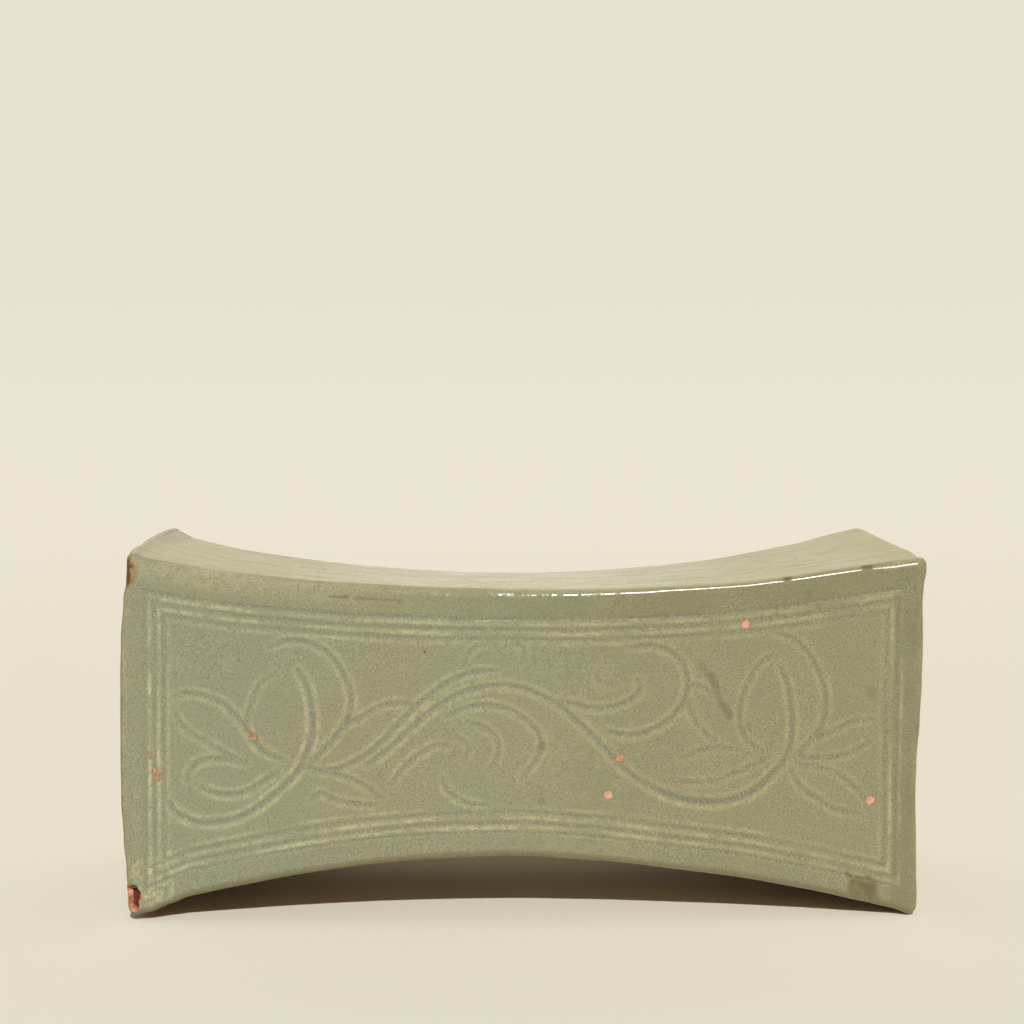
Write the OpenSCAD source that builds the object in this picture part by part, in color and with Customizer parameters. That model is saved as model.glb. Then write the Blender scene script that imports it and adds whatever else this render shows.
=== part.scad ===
// Ceramic pillow: a hollow slab-built headrest with a dipped top and an arched underside.
// Millimetres, +Z up, front towards -Y, origin at the middle of the footprint on the floor.

/* [Overall size] */
// Length from end to end
body_length = 300; // [220:1:380]
// Depth from the front wall to the back wall
body_depth = 135; // [100:1:180]
// Height at the two ends
end_height = 136; // [105:1:170]
// Dip of the headrest below the two ends
saddle_dip = 13; // [6:0.5:22]
// Further dip of the headrest along its back edge
back_drop = 4.5; // [1:0.5:6]
// Rise of the underside between the two feet
arch_rise = 22; // [8:0.5:30]
// Length of the arch's springing at each end, where the base is worn flat
foot_length = 10; // [7:0.5:20]

/* [Slabs] */
// Thickness of the top slab
top_thickness = 12; // [8:0.5:15]
// Thickness of the base slab
base_thickness = 9; // [7:0.5:14]
// Thickness of the front, back and end walls
wall_thickness = 9; // [7:0.5:14]
// Rounding of the outer edges
edge_radius = 3.5; // [1.5:0.5:5]

/* [Joints] */
// Thickness of the slip that lutes one slab to the next
slip_thickness = 0.8; // [0.4:0.1:1.5]
// Radius of the clay coils pressed into the inner corners
coil_radius = 6; // [3:0.5:10]

/* [Vent] */
// Diameter of the firing vent
vent_diameter = 6; // [3:0.5:10]
// Height of the firing vent above the floor
vent_height = 72; // [50:1:90]

/* [Hidden] */
$fn = 240;
// Half sizes of the outside and of the hollow
half_l = body_length / 2;
half_d = body_depth / 2;
hollow_l = half_l - wall_thickness;
hollow_d = half_d - wall_thickness;
// How far a rounding overruns the face that it runs out through
overrun = 0.05;
// Rounding of the upright corners, tighter than that of the long edges
corner_r = 0.7 * edge_radius;
// Arc of the headrest: radius of its upper face and height of its axis
top_r = (half_l * half_l + saddle_dip * saddle_dip) / (2 * saddle_dip);
top_axis = end_height - saddle_dip + top_r;
top_under_r = top_r + top_thickness;
wall_top_r = top_under_r + slip_thickness;
// Tilted arc that lowers the headrest towards the back, from a line behind the rounded front edge:
// its lowest height, its tilt, and its radius, which lets it meet the other arc just past the ends
back_z = end_height - saddle_dip - back_drop;
back_tilt = atan(back_drop / (body_depth - 2 * edge_radius));
back_reach = half_l + 2 * edge_radius;
back_rise = top_axis - sqrt(pow(top_r, 2) - pow(back_reach, 2)) - back_z;
back_r = (back_reach * back_reach + back_rise * back_rise) / (2 * back_rise);
// How far its rounding runs past the back face, so that it leaves no ledge there
back_lap = edge_radius * sin(back_tilt) + overrun;
// Arc of the underside: radius of its lower face and height of its axis
arch_half = half_l - foot_length;
arch_r = (arch_half * arch_half + arch_rise * arch_rise) / (2 * arch_rise);
arch_axis = arch_rise - arch_r;
base_upper_r = arch_r + base_thickness;
wall_foot_r = base_upper_r + slip_thickness;
// Angles swept by the three arcs, a little past the ends
top_sweep = asin((half_l + edge_radius) / top_r);
back_sweep = asin((half_l + edge_radius) / back_r);
arch_sweep = asin((half_l + edge_radius) / arch_r);
// Height of the end rounding under the upper face
end_round_z = top_axis - sqrt(pow(top_r, 2) - pow(half_l - edge_radius, 2)) - edge_radius + overrun;
// Height of the base slab's upper face against the end walls
base_end_z = arch_axis + sqrt(pow(base_upper_r, 2) - pow(hollow_l, 2));

// Which piece to make

glaze = [0.62, 0.61, 0.46];
clay = [0.72, 0.52, 0.38];
slip = [0.55, 0.53, 0.38];

// Rectangle centred on the origin
module centred_rect(w, h) {
    translate([-w / 2, -h / 2]) square([w, h]);
}

// Rectangle with round corners, centred on the origin
module round_rect(w, h, r) {
    centred_rect(w - 2 * r, h);
    centred_rect(w, h - 2 * r);
    for (sx = [-1, 1], sy = [-1, 1])
        translate([sx * (w / 2 - r), sy * (h / 2 - r)]) circle(r);
}

// Sweeps a profile (radius across, depth up) about a level axis that runs front to back
module sweep(axis_z, middle, half_angle) {
    translate([0, 0, axis_z])
        rotate([90, 0, 0])
            rotate([0, 0, middle - half_angle])
                rotate_extrude(angle = 2 * half_angle) children();
}

// Level cylinder from front to back
module level_cylinder(axis_z, r) {
    translate([0, 0, axis_z])
        rotate([90, 0, 0])
            cylinder(r = r, h = 2 * body_depth, center = true);
}

// Upright prism with the pillow's outline from above
module plan_prism() {
    translate([0, 0, -1])
        linear_extrude(end_height + 2) round_rect(body_length, body_depth, corner_r);
}

// Level prism with the pillow's outline from the front
module front_prism() {
    rotate([90, 0, 0])
        linear_extrude(body_depth + 2, center = true) {
            translate([-half_l + edge_radius, 0])
                square([body_length - 2 * edge_radius, end_height + edge_radius]);
            translate([-half_l, edge_radius])
                square([body_length, end_round_z - edge_radius]);
            for (s = [-1, 1], z = [edge_radius, end_round_z])
                translate([s * (half_l - edge_radius), z]) circle(edge_radius);
        }
}

// What stands between the two curved slabs, from their slip or from the base itself
module between_slabs(foot_r) {
    difference() {
        children();
        level_cylinder(top_axis, wall_top_r);
        level_cylinder(arch_axis, foot_r);
    }
}

// Material outside the rounded upright corners
module corner_waste() {
    for (sx = [-1, 1], sy = [-1, 1])
        translate([sx * (half_l - corner_r), sy * (half_d - corner_r), -1])
            difference() {
                translate([sx > 0 ? 0 : -2 * corner_r, sy > 0 ? 0 : -2 * corner_r, 0])
                    cube([2 * corner_r, 2 * corner_r, end_height + 2]);
                translate([0, 0, -1]) cylinder(r = corner_r, h = end_height + 4);
            }
}

// What rounding takes off a square corner at the origin, where the clay lies towards +X and +Y
module edge_waste() {
    difference() {
        translate([-edge_radius, -edge_radius]) square(2 * edge_radius);
        translate([edge_radius, edge_radius]) circle(edge_radius);
    }
}

// Section of a slab from the face at radius r, through its thickness t; the sides named are
// rounded at that face, 1 for the front and -1 for the back
module slab_section(r, t, rounded) {
    difference() {
        translate([r, -half_d]) square([t, body_depth]);
        for (s = rounded)
            translate([r, s * half_d]) mirror([0, s > 0 ? 1 : 0]) edge_waste();
    }
}

// Section of the clay under the tilted arc, measured from the back face, with its back edge rounded
module back_section() {
    translate([back_r, -back_lap])
        difference() {
            square([end_height / 2, 2 * body_depth]);
            edge_waste();
        }
}

// Dipped slab that carries the head, lower towards the back and with its upper edges rounded
module top_slab() {
    color(glaze)
        difference() {
            intersection() {
                sweep(top_axis, 270, top_sweep) slab_section(top_r, top_thickness, [1]);
                translate([0, half_d, back_z])
                    rotate([-back_tilt, 0, 0])
                        sweep(back_r, 270, back_sweep) back_section();
                front_prism();
            }
            corner_waste();
        }
}

// Arched slab that stands on a flat foot at each end, with its lower edges rounded
module base_slab() {
    color(glaze)
        difference() {
            intersection() {
                sweep(arch_axis, 90, arch_sweep) slab_section(arch_r, base_thickness, [-1, 1]);
                front_prism();
            }
            corner_waste();
        }
}

// Long wall between the two end walls; side is -1 for the front and 1 for the back
module long_wall(side) {
    inner = hollow_l - slip_thickness;
    between_slabs(wall_foot_r)
        translate([-inner, side > 0 ? hollow_d : -half_d, 0])
            cube([2 * inner, wall_thickness, end_height]);
}

module front_wall() {
    color(glaze) long_wall(-1);
}

module back_wall() {
    color(glaze) long_wall(1);
}

// End wall over the whole depth; side is -1 for the left and 1 for the right
module end_wall(side) {
    between_slabs(wall_foot_r)
        intersection() {
            plan_prism();
            translate([side > 0 ? hollow_l : -half_l - 1, -body_depth, 0])
                cube([wall_thickness + 1, 2 * body_depth, end_height]);
        }
}

module left_end_wall() {
    color(glaze) end_wall(-1);
}

// The right end wall has the hole that let hot air out in the kiln
module right_end_wall() {
    color(glaze)
        difference() {
            end_wall(1);
            translate([hollow_l - 1, 0, vent_height])
                rotate([0, 90, 0]) cylinder(d = vent_diameter, h = wall_thickness + 2);
        }
}

// Frame of slip over the tops or under the feet of the four walls
module slip_frame(axis_z, middle, half_angle, r) {
    difference() {
        intersection() {
            sweep(axis_z, middle, half_angle)
                translate([r, -half_d - 1]) square([slip_thickness, body_depth + 2]);
            plan_prism();
        }
        translate([-hollow_l, -hollow_d, -1])
            cube([2 * hollow_l, 2 * hollow_d, end_height + 2]);
    }
}

module top_slip_seam() {
    color(slip) slip_frame(top_axis, 270, top_sweep, top_under_r);
}

module base_slip_seam() {
    color(slip) slip_frame(arch_axis, 90, arch_sweep, base_upper_r);
}

// Upright layer of slip between a long wall and an end wall
module corner_slip(sx, sy) {
    color(slip)
        between_slabs(wall_foot_r)
            translate([sx > 0 ? hollow_l - slip_thickness : -hollow_l, sy > 0 ? hollow_d : -half_d, 0])
                cube([slip_thickness, wall_thickness, end_height]);
}

module front_left_slip() {
    corner_slip(-1, -1);
}

module front_right_slip() {
    corner_slip(1, -1);
}

module back_left_slip() {
    corner_slip(-1, 1);
}

module back_right_slip() {
    corner_slip(1, 1);
}

// Quarter-round coil standing in an inner corner
module corner_coil(sx, sy) {
    color(clay)
        between_slabs(base_upper_r)
            intersection() {
                translate([sx * hollow_l, sy * hollow_d, 0]) cylinder(r = coil_radius, h = end_height);
                translate([-hollow_l, -hollow_d, 0]) cube([2 * hollow_l, 2 * hollow_d, end_height]);
            }
}

module front_left_coil() {
    corner_coil(-1, -1);
}

module front_right_coil() {
    corner_coil(1, -1);
}

module back_left_coil() {
    corner_coil(-1, 1);
}

module back_right_coil() {
    corner_coil(1, 1);
}

// The four upright corner coils, which the base coils butt against
module corner_coil_clearance() {
    for (sx = [-1, 1], sy = [-1, 1])
        translate([sx * hollow_l, sy * hollow_d, -1]) cylinder(r = coil_radius, h = end_height);
}

// Coil along the foot of a long wall, following the arch
module long_base_coil(side) {
    color(clay)
        difference() {
            intersection() {
                sweep(arch_axis, 90, arch_sweep)
                    intersection() {
                        translate([base_upper_r, -side * hollow_d]) circle(coil_radius);
                        translate([base_upper_r, -hollow_d]) square([2 * coil_radius, 2 * hollow_d]);
                    }
                translate([0, 0, -1])
                    linear_extrude(end_height)
                        polygon([[-hollow_l, side * hollow_d], [hollow_l, side * hollow_d],
                            [hollow_l - 2 * coil_radius, side * (hollow_d - 2 * coil_radius)],
                            [-hollow_l + 2 * coil_radius, side * (hollow_d - 2 * coil_radius)]]);
            }
            corner_coil_clearance();
        }
}

module front_base_coil() {
    long_base_coil(-1);
}

module back_base_coil() {
    long_base_coil(1);
}

// Coil along the foot of an end wall
module end_base_coil(side) {
    color(clay)
        difference() {
            intersection() {
                translate([side * hollow_l, 0, base_end_z])
                    rotate([90, 0, 0]) cylinder(r = coil_radius, h = 2 * hollow_d, center = true);
                translate([0, 0, -1])
                    linear_extrude(end_height)
                        polygon([[side * hollow_l, -hollow_d], [side * hollow_l, hollow_d],
                            [side * (hollow_l - 2 * coil_radius), hollow_d - 2 * coil_radius],
                            [side * (hollow_l - 2 * coil_radius), -hollow_d + 2 * coil_radius]]);
            }
            level_cylinder(arch_axis, base_upper_r);
            corner_coil_clearance();
        }
}

module left_base_coil() {
    end_base_coil(-1);
}

module right_base_coil() {
    end_base_coil(1);
}

top_slab();
base_slab();
front_wall();
back_wall();
left_end_wall();
right_end_wall();
top_slip_seam();
base_slip_seam();
front_left_slip();
front_right_slip();
back_left_slip();
back_right_slip();
front_left_coil();
front_right_coil();
back_left_coil();
back_right_coil();
front_base_coil();
back_base_coil();
left_base_coil();
right_base_coil();
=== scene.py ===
import math
import bpy
import bmesh
from mathutils import Matrix, Vector, noise
from mathutils.kdtree import KDTree


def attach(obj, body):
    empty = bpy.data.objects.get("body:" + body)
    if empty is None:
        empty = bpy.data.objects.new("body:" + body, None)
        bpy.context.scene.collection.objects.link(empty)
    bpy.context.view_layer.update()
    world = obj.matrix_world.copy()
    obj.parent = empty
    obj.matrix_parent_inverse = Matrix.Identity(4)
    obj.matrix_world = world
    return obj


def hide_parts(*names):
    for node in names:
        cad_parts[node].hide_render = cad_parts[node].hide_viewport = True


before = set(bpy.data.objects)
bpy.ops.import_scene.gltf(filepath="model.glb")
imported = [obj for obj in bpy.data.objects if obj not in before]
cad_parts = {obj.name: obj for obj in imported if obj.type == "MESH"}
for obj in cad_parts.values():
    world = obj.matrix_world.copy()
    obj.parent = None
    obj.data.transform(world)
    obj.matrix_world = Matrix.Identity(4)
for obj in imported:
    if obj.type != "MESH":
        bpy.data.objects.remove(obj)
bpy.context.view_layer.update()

# Shapes are worked out in millimetres: x to the right, y to the back, z up from the floor
metres = 0.001
halfLength, halfDepth = 150.0, 67.5
wallThick, seam, edgeRound = 9.0, 0.8, 3.6
body = {
    "endHeight": 136.0, "dipFront": 12.3, "dipBack": 17.5, "leftCrown": 2.1,
    "archRise": 22.1, "archHalf": 147.0,
    "topThick": 11.6, "topThickDrift": -0.6, "baseThick": 9.8, "baseThickDrift": -0.9,
}
# How far the fired body strays from a true one: heights along x, and the ends' lean and bow
strays = {
    "front": [(-150, 0.8), (-141, 0.1), (-116, -0.35), (-80, -0.1), (-45, 0.2), (0, 0.3), (45, -0.2),
              (81, -0.45), (123, 0.6), (150, 0.9)],
    "back": [(-150, 2.6), (-144, 1.4), (-137, -0.3), (-117, -0.8), (-90, -0.6), (-50, 0.0), (0, 0.3),
             (80, 0.6), (121, 1.8), (140, 3.0), (150, 3.6)],
    "arch": [(-147, 0.0), (-139, -0.9), (-132, 0.2), (-125, 1.1), (-118, 0.9), (-100, 0.6), (-40, 0.5),
             (0, 0.3), (28, -0.6), (57, -1.3), (90, -0.85), (122, -0.3), (133, 0.2), (141, 0.5), (147, 0.0)],
    "left": [(0, -1.9), (8, -1.7), (18, -1.1), (29, -0.1), (44, 0.75), (60, 0.95), (89, 1.1), (104, 0.7),
             (119, -0.45), (126, -1.5), (131, -1.75)],
    "right": [(0, -0.6), (8, -0.5), (18, -0.85), (29, -1.0), (44, -1.35), (59, -1.1), (74, -0.2),
              (89, 0.25), (104, 0.45), (119, 0.15), (125, 0.5), (131, 1.4)],
    # swellings of the two ends of the top: side, y, width, height
    "ends": [(-1, -53.0, 17.0, 0.9), (1, -55.0, 15.0, -1.0), (1, 0.0, 50.0, -0.4)],
    "lean": 2.0, "shrink": 0.99,
    # where the ends bow, and how high and from where to the back the feet stay down
    "bowed": (141.0, 149.0), "footHigh": 34.0, "footFrom": -50.0, "footSpan": 90.0,
}
# What the glaze reads from the mesh: pooled; thin on a ridge, and painted sheen on the top and its front
# edge; chipped, stained, iron brown
markNames = ("pool", "ribAndSheen", "chip", "stain", "iron")
poolMark, ribAndSheenMark, chipMark, stainMark, ironMark = range(len(markNames))


def mix(a, b, t):
    return a + (b - a) * t


def mixAll(first, second, share):
    return [mix(a, b, share) for a, b in zip(first, second)]


def clamp(value, low=0.0, high=1.0):
    return min(high, max(low, value))


def hump(d, width):
    return 0.5 + 0.5 * math.cos(math.pi * d / width) if abs(d) < width else 0.0


def fade(d, near, far):
    t = clamp((d - near) / (far - near))
    return 1.0 - t * t * (3.0 - 2.0 * t)


# Smooth noise: three coordinates, then the size of its swells
def wander(x, y, z, size):
    return noise.noise(Vector((x, y, z)) / size)


def raiseMark(marks, which, level):
    marks[which] = max(marks[which], level)


def stray(pairs, x):
    for (a, low), (b, high) in zip(pairs, pairs[1:]):
        if x <= b:
            return mix(low, high, 1 - fade(x, a, b))
    return pairs[-1][1]


def saddleHeight(x, y):
    t = clamp(x / halfLength, -1.0)
    s = (y + halfDepth) / (2 * halfDepth)
    dip = mix(body["dipFront"], body["dipBack"], s)
    crown = body["leftCrown"] * max(0.0, -t) ** 4 * (1 - (2 * s - 1) ** 2)
    swell = sum(high * hump(y - middle, wide) * max(0.0, side * t) ** 8
                for side, middle, wide, high in strays["ends"])
    drift = mix(stray(strays["front"], x), stray(strays["back"], x), s)
    return body["endHeight"] - dip * (1 - t * t) + crown + swell + drift


def archHeight(x):
    t = x / body["archHalf"]
    return max(0.0, body["archRise"] * (1 - t * t) + stray(strays["arch"], x))


def topSeam(x, y):
    return saddleHeight(x, y) - body["topThick"] - body["topThickDrift"] * x / halfLength


def baseSeam(x):
    return archHeight(x) + body["baseThick"] + body["baseThickDrift"] * x / halfLength


# Final set of the whole body: bowed ends, and the left end standing a little high at the front
def settle(x, y, z):
    length = 2 * halfLength
    pull = 1 - fade(abs(x), *strays["bowed"])
    x += math.copysign(pull, x) * stray(strays["left" if x < 0 else "right"], z)
    lift = strays["lean"] * (halfLength - x) / length
    backFoot = fade(z, 0.0, strays["footHigh"]) * clamp((y - strays["footFrom"]) / strays["footSpan"])
    x += z * strays["lean"] / length
    return Vector((x, y, max(0.0, z + lift * (1 - backFoot)))) * metres * strays["shrink"]


print("stage: incised scroll")
scroll = {
    "width": 1.5, "thinnest": 0.75, "depth": 0.24, "ridgeOff": 1.3, "ridgeHigh": 0.03,
    "step": 0.2, "taper": 7.0, "blunt": 1.5, "tip": 0.35, "reach": 5.0, "endRound": 0.25,
    # each stroke: how heavy it is, then the points it runs through, x and z
    "strokes": [
        # flower at the left, with its leaves
        (1.0, [(-130, 84), (-124, 84.5), (-119, 83.5), (-113, 81), (-108, 76.5), (-104, 71.5), (-100, 65.5),
               (-96, 62), (-90, 59.5)]),
        (0.8, [(-131, 79), (-128.5, 74), (-125, 70), (-120, 67), (-115, 64), (-109.5, 61), (-104, 58.5)]),
        (0.9, [(-126, 52), (-125, 55), (-122.5, 58), (-119, 59.5), (-115, 60), (-110, 59.5), (-103.5, 58)]),
        (1.0, [(-122, 50.5), (-119, 48.5), (-115, 47), (-110, 46.5), (-104, 47.5), (-98.5, 50.5), (-92, 55)]),
        (1.25, [(-132.5, 43.5), (-130, 40), (-126, 37.5), (-121, 36), (-115, 36), (-109, 37), (-103, 39.5),
                (-97, 43.5), (-90, 49.5), (-84, 56), (-80.5, 64), (-79, 71), (-79.5, 80), (-81.5, 88),
                (-84.5, 93)]),
        (0.7, [(-93, 92), (-97.5, 89), (-100, 85.5), (-102, 80), (-103.5, 74)]),
        (0.9, [(-95, 102), (-90, 104), (-84.5, 104.5), (-79, 103), (-73, 99.5), (-68.5, 93.5), (-65.5, 87),
               (-64.5, 81), (-66, 75), (-70, 69), (-75, 63), (-80, 58)]),
        (0.9, [(-70, 69), (-66, 73), (-61, 75.5), (-56, 78.5), (-51, 80.5), (-46, 81), (-41, 80)]),
        (1.0, [(-82, 57), (-76, 55.5), (-70, 56), (-64, 58.5), (-57.5, 62.5), (-52, 67.5), (-46, 74),
               (-40, 80), (-34, 85), (-29, 88.5), (-24, 91), (-18, 92.8), (-10, 93)]),
        (0.8, [(-78, 55), (-71.5, 54.5), (-65, 52.5), (-59, 49.5), (-53, 45)]),
        (0.8, [(-79.5, 44), (-76.5, 47), (-72, 45), (-66, 43.5), (-60, 42.5), (-55, 42.5)]),
        # stem over the middle, with the curls under and above it
        (1.05, [(-59, 57.5), (-52, 62.5), (-46, 68), (-40, 73.5), (-34, 78.5), (-28, 82.5), (-22, 85.3),
                (-15, 87), (-7, 87.5), (0, 86.5), (6, 84), (12.5, 80.5), (18, 76), (24, 70.5), (30, 64.5),
                (36, 58), (42, 53), (49, 49), (56, 46.3), (63, 44.6), (70.5, 44), (77, 44.8), (84, 47),
                (90, 51), (95.5, 56), (99.5, 63), (101, 71), (100.5, 80), (99, 88), (96, 95)]),
        (1.7, [(46, 50), (56, 45.9), (63, 44.2), (70.5, 43.6), (77, 44.4), (84, 46.6), (90, 50.6), (97, 58)]),
        (0.9, [(-29, 76), (-24.5, 78), (-18, 80), (-11.5, 80), (-4.5, 78), (1.5, 74), (5.5, 69.5), (6.5, 64),
               (4, 58.5), (-0.5, 52.5)]),
        (0.75, [(-20.5, 74), (-15, 72), (-11, 68.5), (-9.3, 64), (-10.5, 59), (-13.5, 55.5)]),
        (0.7, [(-27.5, 67.5), (-24, 67.5), (-21.5, 65.5), (-20.8, 62.5), (-22.5, 59.5)]),
        (0.85, [(-50, 50), (-46.5, 54.5), (-42.5, 59), (-38, 62.5), (-33, 65), (-28.5, 65)]),
        (0.9, [(-30.5, 52.5), (-28.5, 48), (-24.5, 44.8), (-19, 42.6), (-13, 42)]),
        (0.6, [(-22.5, 95), (-21.5, 98.5), (-19, 101.5), (-14, 103.3), (-10.5, 102.3), (-9, 99)]),
        (0.6, [(-9, 99), (-7, 102), (-3.5, 103), (-0.5, 101.8), (0.3, 98.5), (-1.5, 95.5)]),
        (1.0, [(13, 81.5), (19.5, 80.5), (25, 79.2), (31, 79.2), (37, 80.8), (41.5, 83.5), (43.7, 87),
               (42.5, 90)]),
        (0.65, [(30, 96), (28, 92.5), (27.8, 89.5), (30.5, 88), (34, 88.5)]),
        (1.1, [(30, 70.8), (36, 69.2), (43, 69.4), (50, 72), (56, 76.3), (60, 82), (61.3, 88), (60.3, 94),
               (57, 99), (52, 101.8), (46, 102.8), (39, 102)]),
        # flower at the right, with its leaves
        (0.7, [(61.5, 87), (64, 88), (67.5, 86.8), (71.5, 84)]),
        (0.85, [(61.8, 82), (62.5, 78), (65, 73.5), (68.5, 69.5), (74, 64.5)]),
        (0.7, [(59, 59.5), (63, 61.8), (67, 63.4), (72, 64.2), (81, 63.5)]),
        (0.85, [(94.5, 99), (91, 98), (87.5, 95), (85, 90.5), (82.5, 85), (81, 78), (81.5, 72), (84, 66.8),
                (90, 63)]),
        (0.95, [(93, 107.8), (98.5, 106.5), (103, 103.8), (107.5, 98.8), (111, 92.5), (113.3, 85),
                (113.3, 78), (111.3, 71.5), (107, 66), (102, 61)]),
        (0.8, [(55, 52), (62, 51.3), (68, 51.2), (74, 52.3), (80, 54.8), (86.5, 57.7), (92, 61)]),
        (0.85, [(104, 63), (108, 67), (113, 69.3), (118, 71.3), (124, 74.2), (132, 75)]),
        (0.8, [(103, 61), (110, 60.5), (117, 60.8), (123, 62.5), (130.5, 66.5)]),
        (0.85, [(103, 58.3), (110, 57), (117, 55), (123, 51), (128.5, 45.5)]),
        (0.95, [(100.5, 56), (102.5, 52), (106, 48), (111, 45), (117.5, 40.8), (126, 39.5)]),
    ],
}


# Points along a smooth curve through the given ones, a short step apart
def traceCurve(points, step):
    ends = [Vector(points[0]) * 2 - Vector(points[1])] + [Vector(p) for p in points]
    ends.append(Vector(points[-1]) * 2 - Vector(points[-2]))
    trail = []
    for a, b, c, d in zip(ends, ends[1:], ends[2:], ends[3:]):
        count = max(2, int((c - b).length / step))
        for i in range(count):
            t = i / count
            trail.append(0.5 * (2 * b + (c - a) * t + (2 * a - 5 * b + 4 * c - d) * t * t
                                + (3 * b - a - 3 * c + d) * t ** 3))
    trail.append(ends[-2])
    return trail


def plantScroll():
    samples = []
    for weight, points in scroll["strokes"]:
        trail = traceCurve(points, scroll["step"])
        length = len(trail) * scroll["step"]
        for i, spot in enumerate(trail):
            ahead = trail[min(i + 1, len(trail) - 1)] - trail[max(i - 1, 0)]
            across = Vector((-ahead.y, ahead.x)).normalized()
            gone = i * scroll["step"]
            swell = min(1.0, (min(gone, length - gone) + scroll["blunt"]) / scroll["taper"])
            samples.append((spot, across, weight * mix(scroll["tip"], 1.0, swell)))
    tree = KDTree(len(samples))
    for i, sample in enumerate(samples):
        tree.insert((sample[0].x, sample[0].y, 0.0), i)
    tree.balance()
    return tree, samples


scrollTree, scrollSamples = plantScroll()


# Depth of cut, pooled glaze and thin glaze on the ridges beside it
def scrollCut(x, z):
    nearest, index, far = scrollTree.find((x, z, 0.0))
    if far > scroll["reach"]:
        return 0.0, 0.0, 0.0
    spot, across, weight = scrollSamples[index]
    aside = abs((Vector((x, z)) - spot).dot(across))
    off = far if far > aside + scroll["endRound"] else aside
    width = scroll["width"] * mix(scroll["thinnest"], 1.0, weight)
    cut = weight * hump(off, width)
    ridge = weight * hump(off - width * scroll["ridgeOff"], width)
    return scroll["depth"] * cut - scroll["ridgeHigh"] * ridge, cut, ridge


border = {
    "width": 1.25, "depth": 0.24, "ridgeHigh": 0.05, "half": 140.6, "endHalf": 57.0,
    "top": (0.0, 3.9, 7.6), "base": (0.0, 3.35, 7.4), "left": (-0.7, 2.7, 6.2), "right": (-3.0, 0.4, 4.5),
    "endSide": (0.0, 3.6, 7.2),
    # how the ruled lines waver, and how hard they were pressed
    "sway": 0.35, "swaySize": 23.0, "press": 0.9, "pressLeast": 0.45, "pressDrift": 0.75, "pressSize": 21.0,
    "outerPast": 1.5, "outerPress": 0.4,
    # thin glaze on the ridges between the lines, and inside the last one
    "ridges": (1.0, 1.0, 0.55), "ridgeInside": 1.9, "ridge": 0.55, "ridgeLeast": 0.1,
}
# Strokes that run past each other where the lower left corner was ruled
crossing = {"wide": 9.5, "high": 10.5, "narrow": 0.8, "sway": 0.3, "swaySize": 5.0, "press": 0.7, "past": 2.2}


# Three ruled lines round a panel, each a rectangle with its own inset on every side
def borderCut(x, z, zLow, zHigh, half, lefts, rights, seed):
    outs = []
    for i in range(3):
        sway = border["sway"] * wander(x, seed + i * 40.0, z, border["swaySize"])
        outs.append(max(lefts[i] - half - x, x - half + rights[i], zLow + border["base"][i] - z,
                        z - zHigh + border["top"][i]) + sway)
    cut = ridge = 0.0
    for i, out in enumerate(outs):
        drift = wander(x, seed + i * 17.0, z, border["pressSize"])
        force = clamp(border["press"] + border["pressDrift"] * drift, border["pressLeast"])
        if i == 0 and abs(x) > half + border["outerPast"]:
            force *= border["outerPress"]
        cut = max(cut, force * hump(out, border["width"]))
    crests = ((outs[0] + outs[1]) / 2, (outs[1] + outs[2]) / 2, outs[2] + border["ridgeInside"])
    for i, (crest, share) in enumerate(zip(crests, border["ridges"])):
        force = border["ridge"] + wander(x, seed + 90.0 + i * 17.0, z, 16.0) + 0.5 * wander(x, seed, z, 4.0)
        ridge = max(ridge, clamp(share * force, border["ridgeLeast"]) * hump(crest, border["width"]))
    inX, inZ = x + half, z - zLow
    if inX < crossing["wide"] and inZ < crossing["high"]:
        width = border["width"] * crossing["narrow"]
        for i in range(3):
            offX = inX - lefts[i] + crossing["sway"] * wander(x, seed, z, crossing["swaySize"])
            offZ = inZ - border["base"][i] + crossing["sway"] * wander(z, seed, x, crossing["swaySize"])
            down = hump(offX, width) * fade(-inZ, -0.5, 2.0 - i)
            over = hump(offZ, width) * fade(-inX, 0.0, crossing["past"])
            cut = max(cut, crossing["press"] * down, crossing["press"] * over)
        crumbs = fade(abs(wander(x, seed + 4.0, z, 3.0)), 0.05, 0.3)
        ridge = max(ridge, crossing["press"] * crumbs * (1 - cut))
    return border["depth"] * cut - border["ridgeHigh"] * ridge, cut, ridge


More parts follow.
